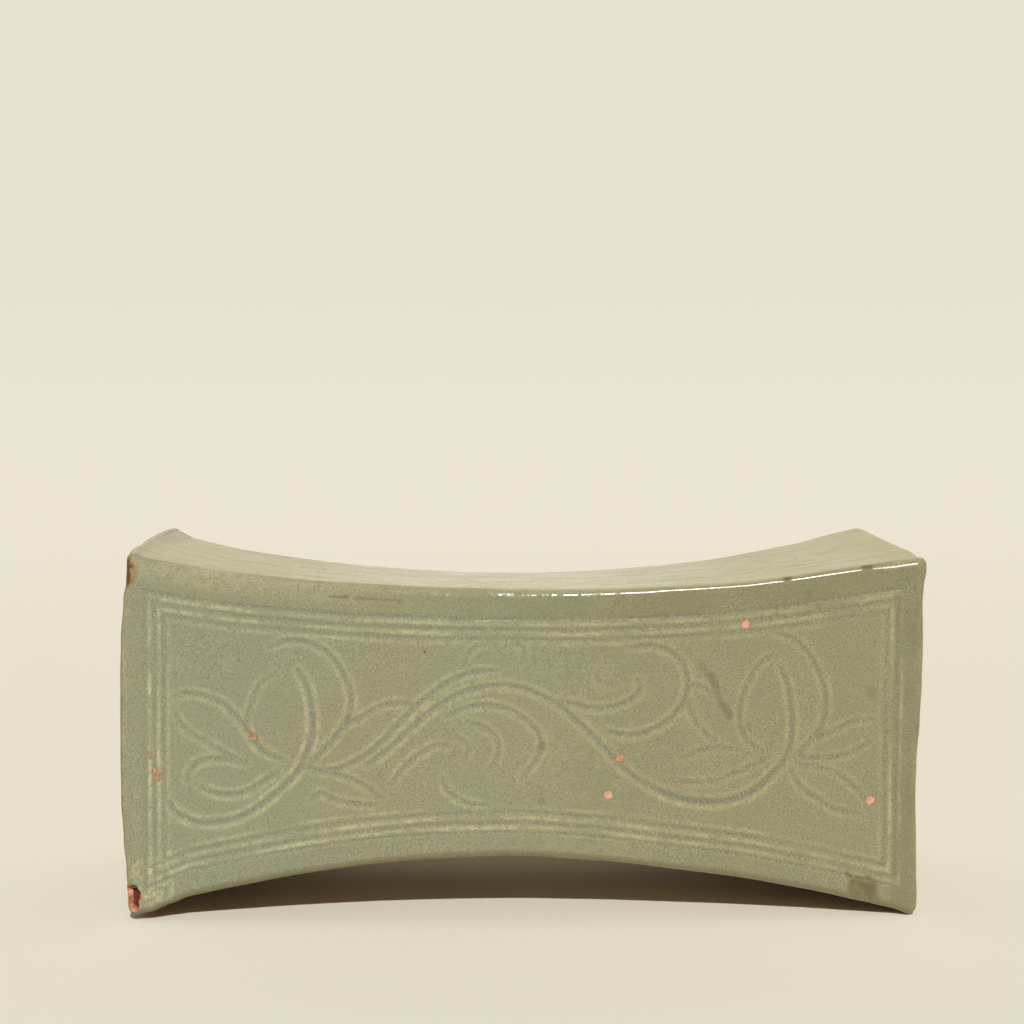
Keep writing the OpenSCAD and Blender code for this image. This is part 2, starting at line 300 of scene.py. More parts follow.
flaws = {
    # pits where the glaze has flaked off: x, z, radius, how brown, how bare
    "flakes": [(83, 111, 1.5, 0.1, 1.0), (36, 60.5, 1.55, 0.3, 0.85), (32, 46.5, 1.5, 0.05, 1.0),
               (131, 44.5, 1.6, 0.08, 1.0), (-101, 68, 1.3, 0.34, 0.62), (-139.9, 61.2, 1.0, 0.3, 0.55),
               (-137.6, 55.4, 0.9, 0.3, 0.55), (-136.4, 53, 1.2, 0.34, 0.6)],
    "flakeReach": 3.0, "flakeEdge": 0.8, "ragged": 0.8,
    # olive and brown marks in the glaze: x, z, radius, strength
    "marks": [(-37, 100, 1.0, 0.9), (106.5, 122.5, 2.4, 0.45), (130.5, 85.5, 3.2, 0.3), (7, 65, 2.4, 0.4),
              (6.5, 44, 2.4, 0.3), (110, 118.5, 1.8, 0.35), (84, 72, 2.5, 0.25), (-65.5, 75, 1.3, 0.3)],
    "markReach": 6.0, "markFade": (0.3, 1.15),
    # streaks from one point to another: x, z, x, z, width, strength
    "streaks": [(66.5, 95.5, 70, 91.5, 1.7, 0.26), (70.3, 91.5, 71.8, 87, 1.9, 0.5),
                (71.8, 87, 73.8, 82, 1.3, 0.4), (74.5, 80.5, 77.3, 76.5, 2.1, 0.5),
                (-72.5, 120.8, -66, 120.6, 0.7, 0.5), (-63, 120.3, -56, 119.8, 0.7, 0.45),
                (-56, 119.8, -46, 119.0, 0.6, 0.38)],
    "streakReach": 4.0, "streakFade": (0.35, 1.1),
    # brown patch at the lower right corner: x, z, half its width and height; then the rust under it
    "patch": (128.6, 9.6, 6.6, 6.4), "patchStain": 0.8, "patchIron": 0.1, "patchMottle": 0.3,
    "rust": 0.3, "rustMottle": 0.25, "rustHigh": (2.0, 5.5), "rustAside": 2.0, "rustEnd": 3.0,
}


def spotMarks(x, z):
    chip = stain = iron = 0.0
    for fx, fz, radius, brown, bareness in flaws["flakes"]:
        if max(abs(x - fx), abs(z - fz)) < flaws["flakeReach"]:
            away = math.hypot(x - fx, z - fz) + flaws["ragged"] * wander(x, fx, z, 1.5)
            here = bareness * fade(away, radius - flaws["flakeEdge"], radius + flaws["flakeEdge"])
            if here > chip:
                chip, iron = here, max(0.0, brown + 0.35 * wander(x, fz, z, 1.1))
    for mx, mz, radius, strength in flaws["marks"]:
        if max(abs(x - mx), abs(z - mz)) < flaws["markReach"]:
            away = math.hypot(x - mx, z - mz) + flaws["ragged"] * wander(x, mx, z, 2.0)
            stain = max(stain, strength * fade(away, *(radius * share for share in flaws["markFade"])))
    for ax, az, bx, bz, width, strength in flaws["streaks"]:
        along = clamp(((x - ax) * (bx - ax) + (z - az) * (bz - az)) / ((bx - ax) ** 2 + (bz - az) ** 2))
        away = math.hypot(x - mix(ax, bx, along), z - mix(az, bz, along))
        if away < flaws["streakReach"]:
            away += 0.5 * wander(x, 3.0, z, 1.6)
            stain = max(stain, strength * fade(away, *(width * share for share in flaws["streakFade"])))
    px, pz, wide, tall = flaws["patch"]
    lean = z - (archHeight(x) - archHeight(px))
    away = max(abs(x - px) / wide, abs(lean - pz) / tall) + 0.25 * wander(x, 6.0, z, 3.0)
    patch = fade(away, 0.75, 1.0)
    mottle = wander(x, 5.0, z, 2.2)
    low = fade(z - archHeight(x), *flaws["rustHigh"])
    low *= fade(abs(x - px - flaws["rustAside"]), wide, wide + flaws["rustEnd"])
    stain = max(stain, (flaws["patchStain"] + flaws["patchMottle"] * mottle) * patch)
    iron = max(iron, (flaws["patchIron"] - flaws["patchMottle"] * mottle) * patch,
               (flaws["rust"] + flaws["rustMottle"] * mottle) * low)
    return chip, stain, iron


# The slabs were never quite flat: slow swells and small dimples under the carving
slabFace = {"swell": 0.25, "longSwell": 40.0, "endSwell": 36.0, "dimple": 0.05, "dimpleSize": 7.0,
            "flakeDeep": 0.35, "longRib": 0.45, "endRib": 0.35}
# One flower of the scroll on each end: its room, its middle there and in the scroll, its scale
endFlower = {"half": 46.0, "low": 26.0, "high": 112.0, "height": 68.0,
             "from": (94.0, 73.0), "scale": (0.62, 0.8)}


# Scroll and border on one face: depth, pooled glaze and thin glaze of the two together
def joinCuts(carved, ruled, ribShare):
    deepest = max(carved[0], ruled[0])
    pool = max(carved[1], ruled[1])
    cut = deepest if deepest > 0 else min(carved[0], ruled[0])
    return cut, pool, max(carved[2] * ribShare, ruled[2]) * (1 - pool)


def faceRelief(side, x, z):
    seen = -side * x
    zLow, zHigh = baseSeam(x), topSeam(x, side * halfDepth)
    # the back stands lower, so its scroll does too
    level = z if side < 0 else z + (topSeam(x, -halfDepth) - zHigh) * 0.5
    ruled = borderCut(seen, z, zLow, zHigh, border["half"], border["left"], border["right"], 20.0 + 9 * side)
    cut, pool, ribAndSheen = joinCuts(scrollCut(seen, level), ruled, slabFace["longRib"])
    chip, stain, iron = spotMarks(seen, z) if side < 0 else (0.0, 0.0, 0.0)
    sink = cut + slabFace["flakeDeep"] * chip
    sink += slabFace["swell"] * wander(x, side * 90.0, z, slabFace["longSwell"])
    sink += slabFace["dimple"] * wander(x, side * 30.0, z, slabFace["dimpleSize"])
    return sink, [pool, ribAndSheen, chip, stain, iron]


def endRelief(side, y, z):
    x = side * halfLength
    carved = (0.0, 0.0, 0.0)
    if abs(y) < endFlower["half"] and endFlower["low"] < z < endFlower["high"]:
        (fromX, fromZ), (wide, tall) = endFlower["from"], endFlower["scale"]
        carved = scrollCut(fromX + side * y * wide, fromZ + (z - endFlower["height"]) * tall)
    insets = border["endSide"]
    ruled = borderCut(side * y, z, baseSeam(x), topSeam(x, y), border["endHalf"], insets, insets,
                      60.0 + 9 * side)
    cut, pool, ribAndSheen = joinCuts(carved, ruled, slabFace["endRib"])
    sink = cut + slabFace["swell"] * wander(side * 70.0, y, z, slabFace["endSwell"])
    sink += slabFace["dimple"] * wander(side * 30.0, y, z, slabFace["dimpleSize"])
    return sink, [pool, ribAndSheen, 0.0, 0.0, 0.0]


def planNormal(x, y):
    overX = abs(x) - halfLength + edgeRound
    overY = abs(y) - halfDepth + edgeRound
    if overX > 0.0 and overY > 0.0:
        reach = math.hypot(overX, overY)
        return overX / reach, overY / reach
    return (1.0, 0.0) if overX > overY else (0.0, 1.0)


# Broken lower corner at the left of the front: a rough wedge out of the clay, narrow at the foot
nick = {
    "foot": (-148.4, -68.6), "head": (-147.6, -69.4), "narrow": 1.9, "wide": 5.5, "tall": 11.6,
    "rough": 1.3, "fine": 0.4, "slant": 0.35, "slantFrom": -146.5, "ragged": 1.6, "topFade": (1.6, 1.2),
    "least": 0.3, "rim": 0.8, "rimIron": 0.15,
    "iron": 0.34, "darkIron": 0.95, "darkAt": -145.7, "darkWide": (1.3, 2.7), "darkFrom": (2.0, 5.5),
}


def breakCorner(point):
    x, y, z = point
    up = clamp(z / nick["tall"])
    cx, cy = mixAll(nick["foot"], nick["head"], up)
    reach = mix(nick["narrow"], nick["wide"], up) + nick["rough"] * wander(x, y, z, 2.4)
    top = nick["tall"] - nick["slant"] * (x - nick["slantFrom"])
    top += nick["ragged"] * wander(x, y, 3.0, 2.2)
    below, above = nick["topFade"]
    reach = (reach + nick["fine"] * wander(x, y, z, 0.9)) * fade(z, top - below, top + above)
    away = math.hypot(x - cx, y - cy)
    if reach < nick["least"] or away >= reach + nick["rim"] or away < 0.01:
        return point, 0.0, 0.0
    if away >= reach:
        return point, 1.0 - (away - reach) / nick["rim"], nick["rimIron"]
    grow = reach / away
    newX = cx + (x - cx) * grow
    # darkest in its upper right part, paler towards the end face and the foot
    dark = nick["darkIron"] * fade(abs(newX - nick["darkAt"]), *nick["darkWide"])
    dark *= 1 - fade(z, *nick["darkFrom"])
    raw = nick["iron"] + dark + 0.45 * wander(x, y, z, 1.3)
    return (newX, cy + (y - cy) * grow, z), 1.0, clamp(raw, 0.1)


# Glaze and wear along the edges of the upright sides: strengths, then where each one fades
edges = {
    "cornerThin": 0.55, "bareClay": 0.9, "bareLine": 0.6, "bareDent": 0.6,
    "ochre": 0.36, "ochreFrom": -139.0, "ochreAt": -148.0, "ochreReach": 2.8, "ochreWider": 3.0,
    "upperBandDark": 0.22, "bandAlong": (-90.0, 40.0),
    "rightEdgeDark": 0.2, "rightEdgeCool": 0.6, "rightFrom": (136.5, 140.5),
    "leftSheen": 0.34, "paleHigh": (5.0, 10.0), "paleAlong": (-95.0, -30.0),
    "gathered": 0.2, "gatheredMiddle": 0.18, "gatheredDrift": 0.45, "gatheredHigh": 1.6, "gatheredWave": 1.4,
}


# A point of the upright sides, cut and marked the same way whichever slab it belongs to
def dressSide(x, y, z):
    nx, ny = planNormal(x, y)
    endSide, faceSide = math.copysign(1.0, x), math.copysign(1.0, y)
    marks = [0.0] * len(markNames)
    newX, newY = x, y
    if ny > 0.02:
        sink, marks = faceRelief(faceSide, x, z)
        newY = y - faceSide * sink * ny * ny
    if nx > 0.02:
        sink, endMarks = endRelief(endSide, y, z)
        newX = x - endSide * sink * nx * nx
        marks = mixAll(marks, endMarks, nx * nx)
    corner = 4 * (nx * ny) ** 2
    raiseMark(marks, ribAndSheenMark, edges["cornerThin"] * corner * (0.7 + 0.7 * wander(x, y, z, 9.0)))
    if x < 0 and y < 0 and nx > 0.05 and ny > 0.05:
        # bare iron-brown clay down the upper left corner, and a thin worn line under it
        upper = fade(topSeam(x, y) - z + 1.5 * wander(x, y, z, 4.0), -1.0, 2.5)
        worn = upper * fade(ny + 0.25 * wander(x, y, z, 2.4), 0.7, 1.1)
        line = fade(ny, 0.35, 0.75) * max(0.0, 0.6 + wander(4.0, y, z, 12.0))
        raiseMark(marks, ironMark, max(edges["bareClay"] * worn, edges["bareLine"] * line))
        newX += edges["bareDent"] * worn * max(0.0, 0.4 + wander(x, y, z, 2.0))
    if x < edges["ochreFrom"] and y < 0 and ny > 0.4:
        # ochre glaze beside it, widest just under the upper edge
        reach = edges["ochreReach"] + edges["ochreWider"] * fade(saddleHeight(x, y) - z, 7.0, 11.0)
        reach += 1.2 * wander(x, y, z, 3.0)
        ochre = edges["ochre"] + 0.2 * wander(x, y, z, 1.6)
        ochre *= fade(x - edges["ochreAt"], reach * 0.4, reach)
        raiseMark(marks, ironMark, ochre * fade(topSeam(x, y) - z, -2.0, 1.0))
    if y < 0 and ny > 0.3:
        # darker along the upper band and down the right edge
        band = fade(topSeam(x, y) - z, -1.5, 1.5) * (1 - fade(x, *edges["bandAlong"]))
        rightEdge = 1 - fade(x, *edges["rightFrom"])
        dark = max(edges["upperBandDark"] * band, edges["rightEdgeDark"] * rightEdge)
        raiseMark(marks, stainMark, dark * (0.9 + 0.5 * wander(x, y, z, 14.0)))
        raiseMark(marks, poolMark, edges["rightEdgeCool"] * rightEdge)
        # paler under the upper edge towards the left: a painted broad highlight
        pale = edges["leftSheen"] * fade(saddleHeight(x, y) - z, *edges["paleHigh"])
        raiseMark(marks, ribAndSheenMark, pale * fade(x, *edges["paleAlong"]))
        # cooler glaze where it gathered over the lower edge
        wave = edges["gatheredWave"] * wander(x, 8.0, z, 18.0)
        gathered = fade(z - baseSeam(x) + edges["gatheredHigh"] - wave, -1.0, 2.0)
        share = edges["gathered"] + edges["gatheredMiddle"] * fade(-abs(x), -80.0, -30.0)
        share += edges["gatheredDrift"] * wander(x, 2.0, z, 30.0)
        raiseMark(marks, poolMark, gathered * max(0.0, share))
    point, broken, deep = breakCorner((newX, newY, z)) if x < 0 and y < 0 else ((newX, newY, z), 0.0, 0.0)
    raiseMark(marks, chipMark, broken)
    marks[ironMark] = mix(marks[ironMark], deep, broken)
    return point, marks


# Carries an open edge on by one row: its new points and its new open edges
def carryOn(bm, rim):
    grown = bmesh.ops.extrude_edge_only(bm, edges=rim)["geom"]
    return ([part for part in grown if isinstance(part, bmesh.types.BMVert)],
            [part for part in grown if isinstance(part, bmesh.types.BMEdge) and part.is_boundary])


def addMarks(bm):
    return [bm.verts.layers.float.new(key) for key in markNames]


def setPoint(vert, layers, point, marks):
    vert.co = settle(*point)
    for layer, value in zip(layers, marks):
        vert[layer] = value


# A slab's skin: a fine grid for its outer face, rims that run round its edge, and a cap inside
def slabSkin(name, cells, rims, place, node, capNormal=None, vent=None):
    bm = bmesh.new()
    bmesh.ops.create_grid(bm, x_segments=cells[0], y_segments=cells[1], size=1.0)
    chart = bm.verts.layers.float_vector.new("chart")
    layers = addMarks(bm)
    for vert in bm.verts:
        vert[chart] = vert.co
    rim = [edge for edge in bm.edges if edge.is_boundary]
    for step in range(1, rims + 1):
        verts, rim = carryOn(bm, rim)
        for vert in verts:
            vert[chart] = (vert[chart].x, vert[chart].y, step)
    for vert in bm.verts:
        u, v, step = vert[chart]
        setPoint(vert, layers, *place(u, v, int(step)))
    if vent:
        bm.normal_update()
        rim = rim + pierce(bm, *vent)
    if capNormal:
        bmesh.ops.triangle_fill(bm, use_beauty=True, use_dissolve=False, edges=rim, normal=capNormal)
    else:
        # the last rim has folded onto the middle line, so its two halves join there
        bmesh.ops.remove_doubles(bm, verts=list({vert for edge in rim for vert in edge.verts}), dist=1e-6)
    bm.verts.layers.float_vector.remove(chart)
    return finishPiece(bm, name, "celadon_glaze", node)


# A round hole through an end slab, wider at the glaze; gives the edges of its inner mouth
def pierce(bm, y, z, radius, innerX):
    centre = Vector((y, z))

    def gap(co):
        return (Vector((co.y, co.z)) - centre).length

    outer = [face for face in bm.faces
             if gap(face.calc_center_median()) < radius and abs(face.normal.x) > 0.2]
    bmesh.ops.delete(bm, geom=outer, context="FACES")
    mouth = [edge for edge in bm.edges if edge.is_boundary and gap(edge.verts[0].co) < radius * 1.5]
    lip = math.copysign(endWall["ventLip"] * metres, innerX)
    for step, grow in enumerate((endWall["ventFlare"], 1.0, 1.0)):
        if step > 0:
            mouth = carryOn(bm, mouth)[1]
        for vert in {vert for edge in mouth for vert in edge.verts}:
            out = (Vector((vert.co.y, vert.co.z)) - centre).normalized() * radius * grow
            deep = (vert.co.x, vert.co.x - lip, innerX)[step]
            vert.co = (deep, centre.x + out.x, centre.y + out.y)
    return mouth


def show(name, data):
    thing = bpy.data.objects.new(name, data)
    bpy.context.scene.collection.objects.link(thing)
    return thing


def showMesh(name, bm):
    mesh = bpy.data.meshes.new(name)
    bm.to_mesh(mesh)
    bm.free()
    return show(name, mesh)


sharpFold = math.radians(40)


def finishPiece(bm, name, slot, *nodes):
    bmesh.ops.recalc_face_normals(bm, faces=bm.faces)
    for face in bm.faces:
        face.smooth = True
    for edge in bm.edges:
        edge.smooth = edge.calc_face_angle(0.0) < sharpFold
    piece = showMesh(name, bm)
    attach(piece, "root")
    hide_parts(*nodes)
    print("piece:", name, len(piece.data.polygons), "faces")
    return piece


# Marks of the faces that lie inside the body
inside = [0.5, 0.0, 0.0, 0.0, 0.0]


# Height on a wall, as a share of the way from the lower seam to the upper one
def wallHeight(x, y, share):
    return mix(baseSeam(x) + seam / 2, topSeam(x, y) - seam / 2, share)


longWall = {"frontCells": (480, 146), "backCells": (370, 112), "rim": 2.0}


def longWallPlace(side):
    half = halfLength - wallThick - seam

    def place(u, v, step):
        x, y = half * u, side * halfDepth
        z = wallHeight(x, y, v / 2 + 0.5)
        if step > 0:
            return (x, side * (halfDepth - (longWall["rim"], wallThick)[step - 1]), z), inside
        return dressSide(x, y, z)

    return place


print("stage: walls")
frontWall = slabSkin("front_wall_panel", longWall["frontCells"], 2, longWallPlace(-1), "front_wall",
                     (0, 1, 0))
backWall = slabSkin("back_wall_panel", longWall["backCells"], 2, longWallPlace(1), "back_wall", (0, -1, 0))


# Splits a grid coordinate into a place on the flat and a share (0 to 1) of the edge rounding
def splitEdge(u, flat, cells, roundCells):
    share = 2.0 * roundCells / cells
    reach, side = abs(u), math.copysign(1.0, u)
    if reach <= 1 - share:
        return side * flat * reach / (1 - share), 0.0, side
    return side * flat, (reach - 1 + share) / share, side


endWall = {"cells": (150, 130), "roundCells": 6, "strips": 6,
           "ventHeight": 72.0, "ventRound": 3.0, "ventFlare": 1.12, "ventLip": 0.5}


def endWallPlace(side):
    inner = halfLength - wallThick

    def place(u, v, step):
        y, a, sy = splitEdge(u, halfDepth - edgeRound, endWall["cells"][0], endWall["roundCells"])
        y += sy * edgeRound * math.sin(a * math.pi / 2)
        x = halfLength - edgeRound * (1 - math.cos(a * math.pi / 2))
        if step > 0:
            x = mix(x, inner, step / endWall["strips"])
        x *= side
        z = wallHeight(x, y, v / 2 + 0.5)
        if step > 0 and a < 0.999:
            return (x, y, z), inside
        return dressSide(x, y, z)

    return place


def endPanel(name, side, node, vent=None):
    return slabSkin(name, endWall["cells"], endWall["strips"], endWallPlace(side), node, (-side, 0, 0), vent)


leftEnd = endPanel("left_end_panel", -1, "left_end_wall")
ventSpot = settle(halfLength - wallThick, 0.0, endWall["ventHeight"])
rightEnd = endPanel("right_end_panel", 1, "right_end_wall",
                    (0.0, ventSpot.z, endWall["ventRound"] * metres, ventSpot.x))


# Place on a slab with rounded edges all round: plan position, drop below the face and share of the turn
def roundedPlan(u, v, cells, roundCells):
    x, a, sx = splitEdge(u, halfLength - edgeRound, cells[0], roundCells)
    y, b, sy = splitEdge(v, halfDepth - edgeRound, cells[1], roundCells)
    turn = max(a, b)
    if turn > 0:
        swing = edgeRound * math.sin(turn * math.pi / 2) / math.hypot(a, b)
        x += sx * swing * a
        y += sy * swing * b
    return x, y, edgeRound * (1 - math.cos(turn * math.pi / 2)), turn


# Last steps of a slab's rims: inwards along the seam to the middle line
def foldIn(x, y, slab, step):
    share = slab["folds"][step - slab["side"] - 1]
    reach = halfLength - share * halfDepth
    return clamp(x, -reach, reach), y * (1 - share)


def closedSlab(name, slab, place, node):
    return slabSkin(name, slab["cells"], slab["side"] + len(slab["folds"]), place, node)


headSlab = {
    "cells": (430, 180), "roundCells": 7, "side": 11, "folds": (0.08, 0.35, 0.7, 1.0),
    "frameInsets": (20.0, 24.0), "frameDepth": 0.08, "framePool": 0.25,
    # a faint scroll: half its room, where it is taken from, and its share of cut, pooled and thin glaze
    "scrollHalf": (126.0, 41.0), "scrollHeight": 72.0, "scrollStretch": 1.2, "scrollShare": (0.7, 0.5, 1.0),
    "thinAndSheen": 0.34, "thinDrift": 0.35,
    "sweepIron": 0.27, "sweepDeep": 0.3, "threadPool": 0.26, "threadDeep": 0.15,
    # brown marks on the front edge: x, half the width, strength
    "marks": ((128.5, 3.2, 0.9), (98.5, 2.4, 0.95)), "marksBack": 4.0,
    "crisp": 0.4, "crispFrom": (0.0, 60.0), "crispTo": (126.0, 140.0), "crispBack": (-61.0, -52.0),
}


# The front edge is less round between the middle and the right corner
def crispEdge(x, y):
    along = (1 - fade(x, *headSlab["crispFrom"])) * fade(x, *headSlab["crispTo"])
    return 1 - headSlab["crisp"] * along * fade(y, *headSlab["crispBack"])


def headRelief(x, y):
    cut = pool = ribAndSheen = 0.0
    halfX, halfY = headSlab["scrollHalf"]
    if abs(x) < halfX and abs(y) < halfY:
        carved = scrollCut(x, headSlab["scrollHeight"] + y / headSlab["scrollStretch"])
        cut, pool, ribAndSheen = (part * share for part, share in zip(carved, headSlab["scrollShare"]))
    inward = min(halfLength - abs(x), halfDepth - abs(y))
    for inset in headSlab["frameInsets"]:
        line = hump(inward - inset + 0.4 * wander(x, y, inset, 20.0), border["width"])
        pool, cut = max(pool, headSlab["framePool"] * line), max(cut, headSlab["frameDepth"] * line)
    # a pale thin-glaze tone laid over the whole top: painted light, standing in for the light the top catches
    # from above
    thinAndSheen = headSlab["thinAndSheen"] + headSlab["thinDrift"] * wander(x, y * 2.0, 4.0, 26.0)
    ribAndSheen = max(ribAndSheen * 0.3, thinAndSheen) * (1 - pool)
    # brush streaks along the length, warm brown under the glaze
    sweep = wander(x * 0.35, y * 2.4 + 0.12 * x, 6.0, 16.0) + 0.5 * wander(x * 0.5, y * 5.0, 2.0, 12.0)
    iron = max(0.0, 0.05 + headSlab["sweepIron"] * sweep)
    thread = fade(abs(wander(x * 0.3, y * 2.6 + 0.1 * x, 11.0, 15.0)), 0.02, 0.13)
    pool = max(pool, thread * (headSlab["threadPool"] + 0.4 * wander(x, y, 15.0, 30.0)))
    cut += headSlab["threadDeep"] * thread + headSlab["sweepDeep"] * sweep
    cut -= 0.3 * wander(x, y, 9.0, 30.0)
    return cut - slabFace["dimple"] * wander(x, y, 3.0, slabFace["dimpleSize"]), [pool, ribAndSheen, 0.0, 0.0, iron]


def headSlabPlace(u, v, step):
    x, y, drop, turn = roundedPlan(u, v, headSlab["cells"], headSlab["roundCells"])
    lowest = saddleHeight(x, y) - topSeam(x, y) - seam / 2
    if step > headSlab["side"]:
        x, y = foldIn(x, y, headSlab, step)
        return (x, y, topSeam(x, y) + seam / 2), inside
    if step > 0:
        return dressSide(x, y, saddleHeight(x, y) - mix(edgeRound, lowest, step / headSlab["side"]))
    sink, marks = headRelief(x, y)
    z = saddleHeight(x, y) - drop * crispEdge(x, y)
    flat = 1 - turn
    if turn > 0:
        point, sideMarks = dressSide(x, y, z)
        x, y = mix(x, point[0], turn * turn), mix(y, point[1], turn * turn)
        marks[ironMark] *= fade(turn, 0.05, 0.4)
        marks = mixAll(marks, sideMarks, turn * turn)
        # pale over the rounding, from the face's tone up to the top's: thin glaze on the edge and painted
        # sheen, strongest at the left front as a painted broad highlight
        thinnedAndSheen = mix(0.75, 0.35, fade(x, -60.0, 20.0)) if y < 0 else 0.6
        raiseMark(marks, ribAndSheenMark, thinnedAndSheen * fade(turn, 0.3, 0.85) * (0.85 + 0.4 * wander(x, y, z, 12.0)))
        z -= hump(turn - 0.5, 0.5) * (0.18 * wander(x, y, 7.0, 11.0) + 0.08 * wander(x, y, 2.0, 4.5))
    if y < -halfDepth + headSlab["marksBack"]:
        # brown where the glaze pulled thin over the upper edge
        for at, wide, strength in headSlab["marks"]:
            brown = strength * fade(abs(x - at), wide * 0.4, wide) * fade(abs(turn - 0.65), 0.2, 0.4)
            raiseMark(marks, stainMark, brown)
    return (x, y, z - sink * flat), marks


print("stage: head slab and base slab")
headPiece = closedSlab("head_slab", headSlab, headSlabPlace, "top_slab")

baseSlab = {"cells": (300, 120), "roundCells": 6, "side": 10, "folds": (0.08, 0.3, 0.55, 0.8, 1.0),
            "edgeThin": 0.25, "edgeStain": 0.34, "edgeIron": 0.16, "underIron": 0.6, "bareIron": 0.45,
            "swell": 0.25}


def baseSlabPlace(u, v, step):
    x, y, rise, turn = roundedPlan(u, v, baseSlab["cells"], baseSlab["roundCells"])
    highest = baseSeam(x) - archHeight(x) - seam / 2
    if step > baseSlab["side"]:
        x, y = foldIn(x, y, baseSlab, step)
        return (x, y, baseSeam(x) - seam / 2), inside
    if step > 0:
        rise = mix(edgeRound, highest, step / baseSlab["side"])
        return dressSide(x, y, archHeight(x) + rise)
    z = archHeight(x) + rise
    point, marks = (x, y, z), [0.0] * len(markNames)
    if turn > 0:
        sidePoint, sideMarks = dressSide(x, y, z)
        point, marks = mixAll(point, sidePoint, turn * turn), mixAll(marks, sideMarks, turn * turn)
    # thin yellow glaze on the lower edge, wiped to the clay under the feet
    raiseMark(marks, ribAndSheenMark, baseSlab["edgeThin"] * fade(abs(turn - 0.5), 0.1, 0.25))
    raiseMark(marks, stainMark, baseSlab["edgeStain"] * fade(abs(turn - 0.6), 0.15, 0.35))
    raiseMark(marks, ironMark, baseSlab["edgeIron"] * fade(abs(turn - 0.5), 0.1, 0.3))
    raiseMark(marks, ironMark, (baseSlab["underIron"] + 0.3 * wander(x, y, 8.0, 22.0)) * fade(turn, 0.1, 0.4))
    bare = fade(archHeight(x) + 0.6 * wander(x, y, 1.0, 6.0), 0.5, 2.2) * fade(turn, 0.05, 0.3)
    raiseMark(marks, chipMark, bare)
    raiseMark(marks, ironMark, baseSlab["bareIron"] * bare)
    if archHeight(x) > 0.5:
        swell = baseSlab["swell"] * (1 - turn) * wander(x, y, 5.0, 26.0)
        point = (point[0], point[1], point[2] + swell)
    return point, marks


basePiece = closedSlab("arched_base", baseSlab, baseSlabPlace, "base_slab")


slipFrame = {"along": (220, 100), "round": 10, "width": 8.2, "rows": 3}


# Ring of slip in a level seam: a strip flush with the outside, carried inwards and closed
def slipRing(name, height, node):
    flatX, flatY = halfLength - edgeRound, halfDepth - edgeRound
    edgeX, edgeY = halfLength - slipFrame["width"], halfDepth - slipFrame["width"]
    path = []
    for turn, (sx, sy, cells) in enumerate(((1, -1, 1), (1, 1, 0), (-1, 1, 1), (-1, -1, 0))):
        for i in range(slipFrame["round"] + 1):
            angle = math.radians(-90 + 90 * turn + 90 * i / slipFrame["round"])
            path.append((sx * flatX + edgeRound * math.cos(angle), sy * flatY + edgeRound * math.sin(angle)))
        last = path[-1]
        goal = (last[0], -last[1]) if turn % 2 == 0 else (-last[0], last[1])
        count = slipFrame["along"][cells]
        for i in range(1, count):
            path.append((mix(last[0], goal[0], i / count), mix(last[1], goal[1], i / count)))
    bm = bmesh.new()
    bmesh.ops.create_circle(bm, segments=len(path), radius=1.0)
    for vert, (x, y) in zip(bm.verts, path):
        vert.co = (x, y, 0.0)
    layers = addMarks(bm)
    first = last = list(bm.edges)
    for step in range(1, slipFrame["rows"] + 3):
        verts, last = carryOn(bm, last)
        for vert in verts:
            vert.co.z = min(1.0, step / slipFrame["rows"]) if step < slipFrame["rows"] + 2 else 0.0
            if step == slipFrame["rows"] + 1:
                vert.co.x, vert.co.y = clamp(vert.co.x, -edgeX, edgeX), clamp(vert.co.y, -edgeY, edgeY)
    bmesh.ops.bridge_loops(bm, edges=first + last)
    for vert in bm.verts:
        x, y, up = vert.co
        point, marks = (x, y, height(x, y) + (up - 0.5) * seam), inside
        if max(abs(x) - halfLength, abs(y) - halfDepth) > -edgeRound:
            point, marks = dressSide(*point)
        setPoint(vert, layers, point, marks)
    return finishPiece(bm, name, "slip", node)


print("stage: slip seams")
topSlip = slipRing("top_slip_line", topSeam, "top_slip_seam")
baseSlip = slipRing("base_slip_line", lambda x, y: baseSeam(x), "base_slip_seam")

cornerSlip = {"cuts": 130, "depth": 8.0}


def slipUpright(name, sx, sy, node):
    bm = bmesh.new()
    bmesh.ops.create_cube(bm, size=1.0)
    upright = [edge for edge in bm.edges if abs(edge.verts[0].co.z - edge.verts[1].co.z) > 0.5]
    bmesh.ops.subdivide_edges(bm, edges=upright, cuts=cornerSlip["cuts"], use_grid_fill=True)
    layers = addMarks(bm)
    middle = halfLength - wallThick - seam / 2
    for vert in bm.verts:
        x = sx * middle + vert.co.x * seam
        y = sy * halfDepth
        z = wallHeight(x, y, vert.co.z + 0.5)
        point, marks = dressSide(x, y, z)
        if vert.co.y * sy < 0:
            point, marks = (x, sy * (halfDepth - cornerSlip["depth"]), z), inside
        setPoint(vert, layers, point, marks)
    return finishPiece(bm, name, "slip", node)


slipLines = [slipUpright("front_left_slip_line", -1, -1, "front_left_slip"),
             slipUpright("front_right_slip_line", 1, -1, "front_right_slip"),
             slipUpright("back_left_slip_line", -1, 1, "back_left_slip"),
             slipUpright("back_right_slip_line", 1, 1, "back_right_slip")]


def tone(red, green, blue):
    parts = [c / 255.0 for c in (red, green, blue)]
    return [c / 12.92 if c <= 0.04045 else ((c + 0.055) / 1.055) ** 2.4 for c in parts] + [1.0]


